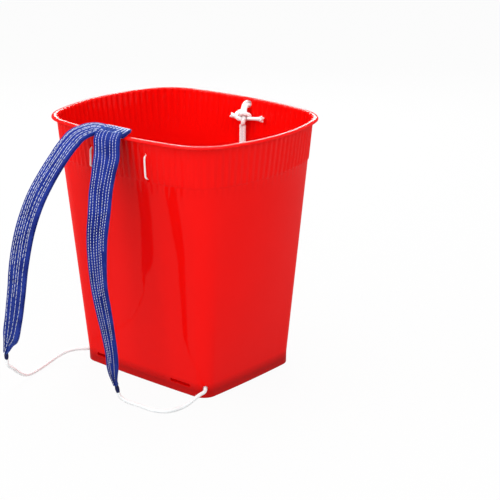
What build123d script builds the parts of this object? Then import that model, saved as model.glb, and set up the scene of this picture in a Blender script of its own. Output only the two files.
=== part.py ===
from build123d import *
import os
from math import atan2, cos, pi, radians, sin, sqrt, tan

# A back basket: moulded tub, cloth shoulder straps over one wall, ropes, a lashing and a rope sling.
# The straps hang on the -Y wall, the sling is tied on the +Y wall, the origin is under the floor's middle.

# Tub wall: a rounded rectangle at the plinth that widens and bows out to the mouth
mouth_width = 362.0
mouth_depth = 296.5
mouth_side_bow = 34.0
mouth_face_bow = 18.0
mouth_corner_radius = 66.0
base_width = 259.6
base_depth = 206.2
base_bow = 2.5
base_corner_radius = 22.0
tub_height = 393.0
wall = 2.2
floor_thickness = 3.0
plinth_height = 18.0
plinth_taper = 1.0
foot_radius = 2.0

# Lip and the corrugated band under it
lip_overhang = 9.0
lip_thickness = 2.5
lip_edge_height = 3.8
band_height = 64.0
band_corner_radius = 53.5
band_step = 0.3
rib_depth = 1.2
rib_count = 104

# Slots and holes in the tub
slot_length = 39.0
slot_opening = 5.0
slot_spacing = 156.0
slot_height = 16.0
rope_hole_diameter = 8.2
rope_hole_height = slot_height
lashing_hole_diameter = 5.2
lashing_hole_spacing = 114.0
lashing_low_height = tub_height - 61.0
lashing_high_height = tub_height - 23.0
lashing_left_height = tub_height - 29.0
lashing_left_x = -52.0
sling_hole_diameter = 12.4
sling_low_height = tub_height - 93.0
sling_high_height = tub_height - 9.0

# Cloth, rope and cord
clearance = 0.3
cloth = 4.5
yoke_cloth = 5.0
rope_diameter = 5.8
cord_diameter = 3.2
binding_diameter = 6.4
binding_length = 11.5


def between(low, high, height):
    """Value at a height of the wall, from its low value on the plinth to its high value at the mouth."""
    return low + (high - low) * (height - plinth_height) / (tub_height - plinth_height)


def wall_y(height, x=0.0):
    """Distance of the long wall's outside from the middle, at a height and a place along the bowed wall."""
    half_depth = between(base_depth, mouth_depth, height) / 2
    bow = between(base_bow, mouth_face_bow, height)
    corner_x = between(base_width, mouth_width, height) / 2 - between(base_bow, mouth_side_bow, height)
    bow_radius = (corner_x**2 + bow**2) / (2 * bow)
    return half_depth - bow_radius + sqrt(bow_radius**2 - x**2)


def corner_radius(height):
    """Radius of the wall's corners at a height: it grows slowly up to the band and faster within it."""
    if height > band_bottom:
        share = (height - band_bottom) / band_height
        return band_corner_radius + (mouth_corner_radius - band_corner_radius) * share
    share = (height - plinth_height) / (band_bottom - plinth_height)
    return base_corner_radius + (band_corner_radius - base_corner_radius) * share


def wall_outline(height, outward=0.0):
    """The tub wall's outline at a height, moved outwards by a distance."""
    half_width = between(base_width, mouth_width, height) / 2
    half_depth = wall_y(height)
    side_bow = between(base_bow, mouth_side_bow, height)
    face_bow = between(base_bow, mouth_face_bow, height)
    corner_x = half_width - side_bow
    corner_y = half_depth - face_bow
    # The bowed sides meet the corner at these tilts, which say how far it moves with them
    side_tilt = 2 * atan2(side_bow, corner_y)
    face_tilt = 2 * atan2(face_bow, corner_x)
    spread = outward / cos(side_tilt + face_tilt)
    corner_x += spread * (cos(face_tilt) - sin(side_tilt))
    corner_y += spread * (cos(side_tilt) - sin(face_tilt))
    half_width += outward
    half_depth += outward
    with BuildSketch(Plane.XY.offset(height)) as outline:
        with BuildLine():
            ThreePointArc((corner_x, -corner_y), (half_width, 0), (corner_x, corner_y))
            ThreePointArc((corner_x, corner_y), (0, half_depth), (-corner_x, corner_y))
            ThreePointArc((-corner_x, corner_y), (-half_width, 0), (-corner_x, -corner_y))
            ThreePointArc((-corner_x, -corner_y), (0, -half_depth), (corner_x, -corner_y))
        make_face()
        fillet(outline.vertices(), corner_radius(height) + outward)
    return outline.sketch


def rib_outline(height, valley, crest):
    """Corrugated outline at a height: valleys and crests by turns, set off from the wall's outline."""
    rim = wall_outline(height).face().outer_wire()
    points = []
    for step in range(2 * rib_count):
        share = step / (2 * rib_count)
        along = rim % share
        outward = Vector(along.Y, -along.X)
        points.append(rim @ share + outward * (crest if step % 2 else valley))
    with BuildSketch(Plane.XY.offset(height)) as outline:
        with BuildLine():
            Polyline(*[(point.X, point.Y) for point in points], close=True)
        make_face()
    return outline.sketch


band_bottom = tub_height - band_height
rib_crest = band_step + rib_depth
lashing_x = lashing_hole_spacing / 2
lashing_holes = [
    (lashing_x, lashing_high_height),
    (lashing_x, lashing_low_height),
    (-lashing_x, lashing_low_height),
    (lashing_left_x, lashing_left_height),
]
lip_outline = wall_outline(tub_height, lip_overhang)
lip_inside = wall_outline(tub_height, lip_overhang - lip_thickness)
hole_reach = lip_overhang + rib_crest + mouth_face_bow


def rope_hole_plane(side):
    """Plane on the wall at a bottom corner of the strap wall, facing out of the corner."""
    corners = wall_outline(plinth_height).edges().sort_by(SortBy.RADIUS)[:4]
    corner = corners.sort_by(lambda arc: side * arc.center().X - arc.center().Y)[-1]
    middle = corner @ 0.5
    return Plane(origin=(middle.X, middle.Y, rope_hole_height), z_dir=middle - corner.arc_center)


with BuildPart() as basket_tub:
    loft(sections=[wall_outline(plinth_height), wall_outline(band_bottom)], ruled=True)
    # Plinth, nearly upright, with a rounded foot
    extrude(wall_outline(plinth_height), amount=-plinth_height, taper=plinth_taper)
    fillet(basket_tub.edges().group_by(Axis.Z)[0], foot_radius)
    # Ribbed band and the lip with its turned-down edge
    loft(
        sections=[rib_outline(band_bottom, band_step, rib_crest), rib_outline(tub_height, band_step, rib_crest)],
        ruled=True,
    )
    extrude(lip_outline, amount=-lip_thickness)
    with BuildSketch(Plane.XY.offset(tub_height)):
        add(lip_outline)
        add(lip_inside, mode=Mode.SUBTRACT)
    extrude(amount=-lip_edge_height)
    # Hollow inside: floor, smooth wall and the same corrugation within the band
    extrude(wall_outline(plinth_height, -wall), amount=floor_thickness - plinth_height, mode=Mode.SUBTRACT)
    loft(
        sections=[wall_outline(plinth_height, -wall), wall_outline(band_bottom, -wall)],
        ruled=True,
        mode=Mode.SUBTRACT,
    )
    loft(
        sections=[
            rib_outline(band_bottom, band_step - wall, rib_crest - wall),
            rib_outline(tub_height, band_step - wall, rib_crest - wall),
        ],
        ruled=True,
        mode=Mode.SUBTRACT,
    )
    # Strap slots through the plinth
    with BuildSketch(Plane.XZ.offset(base_depth / 2 - base_bow - 2 * wall)):
        with Locations((-slot_spacing / 2, slot_height), (slot_spacing / 2, slot_height)):
            RectangleRounded(slot_length, slot_opening, slot_opening / 3)
    extrude(amount=4 * wall, mode=Mode.SUBTRACT)
    # Cord holes in the strap wall and rope holes in the sling wall
    with BuildSketch(Plane.XZ.offset(wall_y(lashing_low_height) - mouth_face_bow)):
        with Locations(*lashing_holes):
            Circle(lashing_hole_diameter / 2)
    extrude(amount=2 * hole_reach, mode=Mode.SUBTRACT)
    with BuildSketch(Plane.XZ.offset(mouth_face_bow - wall_y(sling_low_height))):
        with Locations((0, sling_low_height), (0, sling_high_height)):
            Circle(sling_hole_diameter / 2)
    extrude(amount=-2 * hole_reach, mode=Mode.SUBTRACT)
    # Rope holes in the two bottom corners of the strap wall
    for side in (-1, 1):
        with Locations(rope_hole_plane(side)):
            Cylinder(rope_hole_diameter / 2, 6 * wall, mode=Mode.SUBTRACT)


def barrel(start, direction, end_radius, middle_radius, length):
    """Knot or thread whipping: a solid of revolution with flat ends that swells in its middle."""
    base = Plane(origin=start, z_dir=direction)
    with BuildPart() as knot:
        with BuildSketch(Plane(origin=base.origin, x_dir=base.x_dir, z_dir=-base.y_dir)):
            with BuildLine():
                Line((0, 0), (end_radius, 0))
                ThreePointArc((end_radius, 0), (middle_radius, length / 2), (end_radius, length))
                Polyline((end_radius, length), (0, length), (0, 0))
            make_face()
        revolve(axis=Axis(base.origin, base.z_dir))
    return knot


def rope(points, diameter):
    """Rope or cord: a round tube along straight runs, with an arc as large as the runs allow at each turn."""
    stops = [Vector(point) for point in points]
    radii = []
    for before, here, after in zip(stops, stops[1:], stops[2:]):
        turn = radians((here - before).get_angle(after - here))
        shorter = min((here - before).length, (after - here).length)
        radii.append(0.45 * shorter / tan(turn / 2))
    with BuildPart() as tube:
        with BuildLine() as route:
            FilletPolyline(*stops, radius=radii)
        with BuildSketch(Plane(origin=route.line @ 0, z_dir=route.line % 0)):
            Circle(diameter / 2)
        sweep()
    length = sum(edge.length for edge in route.edges())
    fill = tube.part.volume / (pi * diameter**2 / 4 * length)
    print("rope radii", [round(radius, 1) for radius in radii], "length", round(length, 1))
    print("rope volume over section times length", round(fill, 4))
    return tube


# Folded middle of the cloth band: a flap inside the wall that humps over the lip and widens there to a corner
yoke_left = -62.0
yoke_right = 14.0
yoke_corner = 33.0
yoke_flap_left = -48.0
yoke_flap_drop = 71.0
yoke_bend = 5.5
yoke_top = tub_height + clearance + yoke_cloth / 2
lip_reach = mouth_depth / 2 + lip_overhang


def flap_y(height):
    """Middle of the flap's cloth at a height, where its left edge just clears the bowed wall."""
    return wall + clearance + yoke_cloth / 2 - wall_y(height, yoke_flap_left)


flap_path = [
    (flap_y(tub_height - yoke_flap_drop), tub_height - yoke_flap_drop),
    (flap_y(tub_height - 41.0), tub_height - 41.0),
    (flap_y(tub_height - 13.0) + 8.5, tub_height - 13.0),
]
hump_path = [
    (flap_y(tub_height) + 8.7, tub_height + 1.0),
    (flap_y(tub_height) + 0.2, yoke_top + 4.2),
    (8.0 - lip_reach, yoke_top),
    (-lip_reach, yoke_top),
]

with BuildPart() as strap_yoke:
    for left, right, path in (
        (yoke_flap_left, yoke_right, flap_path + hump_path),
        (yoke_left, yoke_flap_left, hump_path),
        (yoke_right, yoke_corner, hump_path),
    ):
        with BuildSketch(Plane.YZ.offset(left)):
            with BuildLine():
                FilletPolyline(*path, radius=yoke_bend)
            trace(line_width=yoke_cloth)
        extrude(amount=right - left)
    # The right-hand edge runs slantwise over the rim, out to the corner
    with BuildSketch(Plane.XY.offset(tub_height - yoke_cloth)):
        with BuildLine():
            Polyline(
                (yoke_right, hump_path[0][0] + yoke_cloth),
                (yoke_right, hump_path[0][0]),
                (yoke_corner, hump_path[2][0]),
                (yoke_corner, hump_path[0][0] + yoke_cloth),
                close=True,
            )
        make_face()
    extrude(amount=4 * yoke_cloth, mode=Mode.SUBTRACT)


# Shoulder straps: from a root at the lip each hangs outside the wall to a gathered end
strap_root_y = -lip_reach - 2 * clearance
strap_root_z = tub_height + clearance + cloth / 2
gathered = 5.4
left_end_height = 62.3
right_end_height = 28.0
left_end_direction = Vector(-0.17, 0.15, -0.97).normalized()
right_end_direction = Vector(0.22, 0.06, -0.97).normalized()


def strap_point(x, reach, fall, end_height):
    """Point of a strap: its distance out from the root, and the share of the fall from root to end."""
    return Vector(x, strap_root_y - reach, strap_root_z + (end_height - strap_root_z) * fall)


def strap(stations, end_height, end_direction):
    """Flat band through sections (x, reach, fall, width, thickness, turn), from the lip to its gathered end."""
    points = [strap_point(*station[:3], end_height) for station in stations]
    directions = [Vector(0, -1, 0)]
    for before, after in zip(points, points[2:]):
        directions.append((after - before).normalized())
    directions.append(end_direction)
    with BuildPart() as band:
        for point, along, station in zip(points, directions, stations):
            width, thickness, turn = station[3:]
            across = Vector(cos(radians(turn)), sin(radians(turn)), 0)
            with BuildSketch(Plane(origin=point, x_dir=across - along * across.dot(along), z_dir=along)):
                Rectangle(width, thickness)
        loft(ruled=True)
    return band


left_stations = [
    (-41.5, 0.0, 0.0, 40.0, cloth, 0.0),
    (-45.0, 11.0, 0.0093, 40.0, cloth, 0.0),
    (-50.0, 28.0, 0.0495, 38.0, cloth, 0.0),
    (-50.0, 52.0, 0.1072, 37.0, cloth, 0.0),
    (-52.0, 74.0, 0.1784, 36.0, cloth, 2.0),
    (-57.5, 91.0, 0.2630, 35.5, cloth, 4.0),
    (-63.0, 104.0, 0.3618, 35.0, cloth, 5.0),
    (-74.0, 114.0, 0.5505, 35.0, cloth, 5.0),
    (-82.0, 115.0, 0.6919, 34.5, cloth, 2.0),
    (-92.0, 114.0, 0.8145, 33.5, cloth, 0.0),
    (-101.5, 111.8, 0.9050, 31.5, cloth, 0.0),
    (-109.4, 109.0, 0.9430, 27.5, cloth, 0.0),
    (-116.0, 108.0, 0.9820, 14.0, 5.0, 0.0),
    (-119.8, 107.6, 1.0, gathered, gathered, 0.0),
]
right_stations = [
    (2.5, 0.0, 0.0, 43.0, cloth, 0.0),
    (7.0, 9.0, 0.0114, 45.0, cloth, 0.0),
    (16.5, 22.0, 0.0777, 43.0, cloth, 6.0),
    (25.0, 37.0, 0.1325, 38.0, cloth, 12.0),
    (31.0, 49.0, 0.1895, 36.0, cloth, 16.0),
    (37.0, 59.0, 0.2600, 34.0, cloth, 19.0),
    (39.0, 67.0, 0.3582, 31.5, cloth, 20.0),
    (39.0, 68.0, 0.4556, 29.0, cloth, 18.0),
    (39.0, 66.0, 0.5539, 26.0, cloth, 17.0),
    (41.0, 61.0, 0.6543, 24.0, cloth, 21.0),
    (38.0, 50.0, 0.7662, 20.0, cloth, 27.0),
    (36.0, 42.0, 0.8749, 18.0, cloth, 27.0),
    (33.8, 39.2, 0.9160, 17.5, cloth, 27.0),
    (31.8, 35.6, 0.9590, 12.0, 5.0, 24.0),
    (31.8, 33.4, 0.9820, 7.6, 5.4, 14.0),
    (33.0, 32.0, 1.0, gathered, gathered, 0.0),
]
strap_left = strap(left_stations, left_end_height, left_end_direction)
strap_right = strap(right_stations, right_end_height, right_end_direction)
left_tip = strap_point(*left_stations[-1][:3], left_end_height)
right_tip = strap_point(*right_stations[-1][:3], right_end_height)

# Thread whipping that closes each strap's gathered end round the rope
binding_end_radius = binding_diameter / 2 - 0.8
strap_binding_left = barrel(
    left_tip, left_end_direction, binding_end_radius, binding_diameter / 2, binding_length
)
strap_binding_right = barrel(
    right_tip, right_end_direction, binding_end_radius, binding_diameter / 2, binding_length
)

# Ropes from the bottom corners over the floor to the straps' ends, each held by a stopper knot in the tub
knot_diameter = 13.0
knot_length = 11.0
knot_seat = wall + 0.8
rope_straight = 11.0
binding_reach = binding_length + clearance
left_corner = rope_hole_plane(-1)
right_corner = rope_hole_plane(1)
left_knot_face = left_corner.origin - left_corner.z_dir * knot_seat
right_knot_face = right_corner.origin - right_corner.z_dir * knot_seat
knot_face_radius = rope_diameter / 2 + clearance
stopper_knot_left = barrel(
    left_knot_face, -left_corner.z_dir, knot_face_radius, knot_diameter / 2, knot_length
)
stopper_knot_right = barrel(
    right_knot_face, -right_corner.z_dir, knot_face_radius, knot_diameter / 2, knot_length
)

lower_rope_left = rope(
    [
        left_knot_face,
        left_corner.origin + left_corner.z_dir * rope_straight,
        (-138.0, -111.0, 15.8),
        (-146.0, -122.5, 13.0),
        (-151.0, -137.0, 8.0),
        (-151.0, -152.0, 4.2),
        (-147.0, -169.0, 3.3),
        (-142.0, -187.0, 3.3),
        (-138.0, -203.0, 3.6),
        (-134.5, -217.0, 6.6),
        (-131.0, -230.0, 14.0),
        (-127.5, -241.0, 23.0),
        (-124.0, -251.0, 32.0),
        left_tip + left_end_direction * (binding_reach + rope_straight),
        left_tip + left_end_direction * binding_reach,
    ],
    rope_diameter,
)
lower_rope_right = rope(
    [
        right_knot_face,
        right_corner.origin + right_corner.z_dir * rope_straight,
        (128.6, -113.0, 14.8),
        (127.2, -124.0, 11.0),
        (125.8, -134.0, 6.8),
        (123.3, -146.0, 3.8),
        (120.8, -159.0, 3.3),
        (113.5, -173.0, 3.3),
        (98.5, -180.3, 3.3),
        (78.0, -181.0, 3.3),
        (60.0, -182.0, 3.5),
        (46.5, -185.5, 5.2),
        right_tip + right_end_direction * (binding_reach + rope_straight / 2),
        right_tip + right_end_direction * binding_reach,
    ],
    rope_diameter,
)

# Lashing: one cord over the flap inside, out through the four holes and up the outside of the wall
lashing_turn = 6.7
lashing_knot_length = 12.0
lashing_knot_radius = 4.4
lashing_knot_left = -19.0
flap_face = yoke_cloth / 2 + clearance
cord_over_flap = flap_face + cord_diameter / 2
high_flap_y = flap_y(lashing_high_height) + 5.6
low_flap_y = flap_y(lashing_low_height)
knot_y = high_flap_y + flap_face + lashing_knot_radius


def lashing_outside(x, height):
    """Point of the cord where it turns on the ribs outside a hole."""
    return (x, -wall_y(height, x) - rib_crest - 2 * clearance - cord_diameter / 2, height)


def lashing_inside(x, height):
    """Point of the cord where it turns inside a hole."""
    return (x, lashing_turn - wall_y(height, x), height)


lashing_knot = barrel(
    (lashing_knot_left, knot_y, lashing_high_height),
    (1, 0, 0),
    cord_diameter / 2 + clearance,
    lashing_knot_radius,
    lashing_knot_length,
)
lashing_cord = rope(
    [
        (lashing_knot_left + lashing_knot_length, knot_y, lashing_high_height),
        (6.0, knot_y, lashing_high_height),
        (yoke_right + 4.0, high_flap_y + cord_over_flap, lashing_high_height),
        lashing_inside(*lashing_holes[0]),
        lashing_outside(*lashing_holes[0]),
        lashing_outside(*lashing_holes[1]),
        lashing_inside(*lashing_holes[1]),
        (yoke_right + 4.0, low_flap_y + cord_over_flap, lashing_low_height),
        (yoke_flap_left - 2.0, low_flap_y + cord_over_flap + 0.4, lashing_low_height),
        lashing_inside(*lashing_holes[2]),
        lashing_outside(*lashing_holes[2]),
        lashing_outside(*lashing_holes[3]),
        lashing_inside(*lashing_holes[3]),
        (yoke_flap_left - 2.0, high_flap_y + cord_over_flap, lashing_high_height),
        (lashing_knot_left - 12.0, knot_y, lashing_high_height),
        (lashing_knot_left, knot_y, lashing_high_height),
    ],
    cord_diameter,
)

# Sling on the far wall: a doubled rope out through the low hole, up the wall, in again and tied inside
sling_knot_low = sling_high_height - 31.5
sling_knot_high = sling_high_height - 8.0
sling_knot_middle = (sling_knot_low + sling_knot_high) / 2
sling_knot_width = 30.0
sling_knot_depth = 15.0
sling_knot_round = 5.0
sling_knot_y = wall_y(sling_knot_low) - wall - 2 * clearance - sling_knot_depth / 2
sling_turn_inside = 7.4
sling_turn_low = 5.1
sling_turn_high = 6.8
strand_offset = (rope_diameter + clearance) / 2
left_tail_length = 13.0
right_tail_length = 27.0

with BuildPart() as sling_knot:
    with Locations((0, sling_knot_y, sling_knot_middle)):
        Box(sling_knot_width, sling_knot_depth, sling_knot_high - sling_knot_low)
    fillet(sling_knot.edges(), sling_knot_round)


def sling_strand(side):
    """One strand of the doubled rope, from the knot's underside round through both holes to its top."""
    x = side * strand_offset
    return rope(
        [
            (x, sling_knot_y, sling_knot_low),
            (x, sling_knot_y, sling_knot_low - 21.0),
            (x, wall_y(sling_low_height) - sling_turn_inside, sling_low_height),
            (x, wall_y(sling_low_height) + sling_turn_low, sling_low_height),
            (x, wall_y(sling_high_height) + sling_turn_high, sling_high_height),
            (x, sling_knot_y, sling_high_height),
            (x, sling_knot_y, sling_knot_high),
        ],
        rope_diameter,
    )


def sling_tail(side, length):
    """Cut end of the rope beside the knot, a little frayed towards its tip."""
    base = Plane(origin=(side * sling_knot_width / 2, sling_knot_y, sling_knot_middle), z_dir=(side, 0, 0))
    with BuildPart() as tail:
        with BuildSketch(Plane(origin=base.origin, x_dir=base.x_dir, z_dir=-base.y_dir)):
            with BuildLine():
                Polyline(
                    (0, 0),
                    (rope_diameter / 2, 0),
                    (rope_diameter / 2, 0.6 * length),
                    (0.75 * rope_diameter, length),
                    (0, length),
                    close=True,
                )
            make_face()
        revolve(axis=Axis(base.origin, base.z_dir))
    return tail


sling_strand_left = sling_strand(-1)
sling_strand_right = sling_strand(1)
sling_tail_left = sling_tail(-1, left_tail_length)
sling_tail_right = sling_tail(1, right_tail_length)

pieces = {
    "basket_tub": basket_tub,
    "strap_yoke": strap_yoke,
    "strap_left": strap_left,
    "strap_right": strap_right,
    "strap_binding_left": strap_binding_left,
    "strap_binding_right": strap_binding_right,
    "lower_rope_left": lower_rope_left,
    "lower_rope_right": lower_rope_right,
    "stopper_knot_left": stopper_knot_left,
    "stopper_knot_right": stopper_knot_right,
    "lashing_cord": lashing_cord,
    "lashing_knot": lashing_knot,
    "sling_strand_left": sling_strand_left,
    "sling_strand_right": sling_strand_right,
    "sling_knot": sling_knot,
    "sling_tail_left": sling_tail_left,
    "sling_tail_right": sling_tail_right,
}
os.makedirs("parts", exist_ok=True)
for name, piece in pieces.items():
    piece.part.label = name
    export_step(piece.part, f"parts/{name}.step")
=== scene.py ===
from math import cos, pi, radians, sin, sqrt

import bpy
import numpy as np
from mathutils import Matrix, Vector


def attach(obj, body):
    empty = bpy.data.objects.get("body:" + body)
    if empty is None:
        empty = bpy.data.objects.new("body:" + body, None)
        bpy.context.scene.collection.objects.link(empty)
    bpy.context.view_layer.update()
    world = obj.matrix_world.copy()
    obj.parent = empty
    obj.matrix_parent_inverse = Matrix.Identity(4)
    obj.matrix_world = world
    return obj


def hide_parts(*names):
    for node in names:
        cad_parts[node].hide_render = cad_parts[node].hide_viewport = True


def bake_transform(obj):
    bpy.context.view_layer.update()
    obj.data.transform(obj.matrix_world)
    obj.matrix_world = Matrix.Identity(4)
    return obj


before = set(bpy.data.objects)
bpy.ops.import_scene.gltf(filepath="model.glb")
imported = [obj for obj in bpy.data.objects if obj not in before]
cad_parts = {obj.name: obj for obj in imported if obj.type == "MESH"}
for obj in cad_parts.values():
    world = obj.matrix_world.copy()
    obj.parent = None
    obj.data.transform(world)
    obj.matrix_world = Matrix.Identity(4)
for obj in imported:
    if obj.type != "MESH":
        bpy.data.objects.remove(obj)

scene = bpy.context.scene
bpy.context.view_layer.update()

# Tub: one thin red plastic moulding that widens from a low plinth to a bowed mouth. A fluted band under
# the flat lip keeps the rim stiff, and slots and round holes for strap, cord and rope go through the wall.
tub_height = 0.393
plinth_height = 0.018
plinth_taper = 0.0175
foot_radius = 0.002
wall = 0.0022
floor_thickness = 0.003
floor_fillet = 0.003
# Half width, half depth, bow of the sides and bow of the long walls
plinth_shape = np.array((0.1298, 0.1031, 0.0025, 0.0025))
mouth_shape = np.array((0.181, 0.14825, 0.034, 0.018))
band_bottom = 0.329
band_height = 0.064
band_step = 0.0003
flute_count = 104
flute_depth = 0.0012
quarter_columns = 208
lip_overhang = 0.009
lip_thickness = 0.0025
lip_edge_height = 0.0038
# Rounding of the lip's outer and inner edge, across and downwards
lip_round = (0.0042, 0.0030)
lip_inner_round = (0.00352, 0.0022)
# Depth of the flutes inside the wall and at the lip's inner edge, as shares of the depth outside, how much
# painted shade darkens the plastic inside, and the share of it that a painted highlight takes off the flutes'
# crests
inner_flutes = 1.8
lip_flutes = 0.3
inner_painted_shade = 0.14
crest_painted_highlight = 0.4
# Heights between which the wall runs straight up, and its corner radius at each
wall_levels = (plinth_height, band_bottom, tub_height)
corner_radii = (0.022, 0.0535, 0.066)


def quarter_outline(level, shares):
    """Points and outward directions over the +X +Y quarter of a level's outline, from side to long wall."""
    rise = (wall_levels[level] - plinth_height) / (tub_height - plinth_height)
    half_x, half_y, side_bow, face_bow = plinth_shape + (mouth_shape - plinth_shape) * rise
    corner = corner_radii[level]
    side_radius = ((half_y - face_bow) ** 2 + side_bow**2) / (2 * side_bow)
    face_radius = ((half_x - side_bow) ** 2 + face_bow**2) / (2 * face_bow)
    side_centre = np.array((half_x - side_radius, 0.0))
    face_centre = np.array((0.0, half_y - face_radius))
    # The corner's arc touches both bowed walls from inside
    gap = face_centre - side_centre
    span = np.linalg.norm(gap)
    side_reach = side_radius - corner
    along = (side_reach**2 - (face_radius - corner) ** 2 + span**2) / (2 * span)
    aside = sqrt(side_reach**2 - along**2)
    corner_centre = side_centre + (gap * along + np.array((-gap[1], gap[0])) * aside) / span
    side_turn = np.arctan2(corner_centre[1], corner_centre[0] - side_centre[0])
    face_turn = np.arctan2(corner_centre[1] - face_centre[1], corner_centre[0])
    runs = (side_radius * side_turn, corner * (face_turn - side_turn), face_radius * (pi / 2 - face_turn))
    ends = np.concatenate(((0.0,), np.cumsum(runs)))
    place = np.asarray(shares) * ends[-1]
    turn = np.interp(place, ends, (0.0, side_turn, face_turn, pi / 2))
    arc = np.clip(np.searchsorted(ends, place, side="right") - 1, 0, 2)
    centres = np.array((side_centre, corner_centre, face_centre))[arc]
    radii = np.array((side_radius, corner, face_radius))[arc]
    outward = np.stack((np.cos(turn), np.sin(turn)), axis=1)
    return centres + radii[:, None] * outward, outward


def level_ring(level):
    """Points and outward directions all round the tub's outline at a level, one for each column."""
    shares = np.arange(quarter_columns) / quarter_columns
    there, there_out = quarter_outline(level, shares)
    back, back_out = quarter_outline(level, 1 - shares)
    points = np.concatenate((there, back * (-1, 1), there * (-1, -1), back * (1, -1)))
    outward = np.concatenate((there_out, back_out * (-1, 1), there_out * (-1, -1), back_out * (1, -1)))
    return points, outward


level_rings = [level_ring(level) for level in range(len(wall_levels))]


def tub_ring(height):
    """Points and outward directions all round the wall at a height, straight from one level to the next."""
    place = np.interp(height, wall_levels, range(len(wall_levels)))
    low = min(int(place), len(wall_levels) - 2)
    share = place - low
    points, outward = (
        (1 - share) * below + share * above for below, above in zip(level_rings[low], level_rings[low + 1])
    )
    return points, outward / np.linalg.norm(outward, axis=1, keepdims=True)


def ring_faces(rings, columns, first=0):
    """Faces between closed rings of points, each with the same number of columns."""
    faces = []
    for ring in range(rings - 1):
        low = first + ring * columns
        for column in range(columns):
            beside = (column + 1) % columns
            faces.append((low + column, low + beside, low + columns + beside, low + columns + column))
    return faces


def new_piece(name, points, faces, finish=None, edges=()):
    """A mesh object in the scene, with its place in its points."""
    mesh = bpy.data.meshes.new(name)
    mesh.from_pydata([tuple(point) for point in points], edges, faces)
    if finish:
        mesh.materials.append(finish)
    piece = bpy.data.objects.new(name, mesh)
    scene.collection.objects.link(piece)
    return piece


def settle(piece, crease):
    """Makes a piece's modifiers part of its mesh, smooth apart from edges sharper than the crease."""
    shown = piece.evaluated_get(bpy.context.evaluated_depsgraph_get())
    mesh = bpy.data.meshes.new_from_object(shown)
    piece.modifiers.clear()
    piece.data = mesh
    mesh.shade_smooth()
    mesh.set_sharp_from_angle(angle=radians(crease))
    return piece


def add(tree, kind, inputs=None, **settings):
    """A node with its settings, and its inputs set to values or linked to other nodes' outputs."""
    node = tree.nodes.new(kind)
    for name, value in settings.items():
        setattr(node, name, value)
    for name, value in (inputs or {}).items():
        if isinstance(value, bpy.types.NodeSocket):
            tree.links.new(value, node.inputs[name])
        else:
            node.inputs[name].default_value = value
    return node


def start_material(name, looks):
    """A material with its tree, its shader with the even looks set, and the piece's own coordinates."""
    material = bpy.data.materials.new(name)
    material.use_nodes = True
    tree = material.node_tree
    shader = tree.nodes["Principled BSDF"]
    for look, value in looks.items():
        shader.inputs[look].default_value = value
    return material, tree, shader, add(tree, "ShaderNodeTexCoord").outputs


def ramp(tree, value, *stops):
    """Colour from a value by a ramp of (place, colour) stops."""
    node = add(tree, "ShaderNodeValToRGB", {"Fac": value})
    while len(node.color_ramp.elements) < len(stops):
        node.color_ramp.elements.new(0.5)
    for element, (place, colour) in zip(node.color_ramp.elements, stops):
        element.position = place
        element.color = (*colour, 1.0)
    return node.outputs["Color"]


def reckon(tree, operation, *values):
    """What a sum gives, from values or from other nodes' outputs."""
    return add(tree, "ShaderNodeMath", dict(enumerate(values)), operation=operation).outputs["Value"]


def noise(tree, place, scale, detail):
    """Cloudy values over a piece's own coordinates."""
    node = add(tree, "ShaderNodeTexNoise", {"Vector": place["Object"], "Scale": scale, "Detail": detail})
    return node.outputs["Fac"]


def roughen(tree, shader, height, strength, distance):
    """Gives a finish a fine relief."""
    relief = add(tree, "ShaderNodeBump", {"Height": height, "Strength": strength, "Distance": distance})
    tree.links.new(relief.outputs["Normal"], shader.inputs["Normal"])


def tub_plastic():
    """Glossy red plastic, a little cloudy, with a moulded grain, painted shade in the plinth and painted
    shade inside.
    """
    looks = {"Roughness": 0.3, "Specular IOR Level": 0.0, "Coat Weight": 0.16, "Coat Roughness": 0.02}
    material, tree, shader, place = start_material("tub_plastic", looks)
    # Painted shade: a dark band low in the plinth, darkest about 10 mm up and lighter towards the foot
    height = add(tree, "ShaderNodeSeparateXYZ", {"Vector": place["Object"]}).outputs["Z"]
    level = add(tree, "ShaderNodeMapRange", {"Value": height, "From Max": 1.6 * plinth_height})
    rise = ramp(
        tree,
        level.outputs["Result"],
        (0.0, (0.2, 0.2, 0.2)),
        (0.35, (0.0, 0.0, 0.0)),
        (0.85, (0.8, 0.8, 0.8)),
    )
    depth = reckon(tree, "MULTIPLY_ADD", noise(tree, place, 11.0, 3.0), 0.2, rise)
    # Painted shade inside the tub, eased on the inner flutes' crests by a painted highlight
    inner = add(tree, "ShaderNodeAttribute", attribute_name="inner").outputs["Fac"]
    colour = ramp(
        tree,
        reckon(tree, "MULTIPLY_ADD", inner, -inner_painted_shade, depth),
        (0.0, (0.42, 0.001, 0.001)),
        (0.8, (0.82, 0.003, 0.002)),
        (1.0, (0.88, 0.004, 0.003)),
    )
    tree.links.new(colour, shader.inputs["Base Color"])
    roughen(tree, shader, noise(tree, place, 650.0, 2.0), 0.06, 0.0004)
    return material


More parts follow.
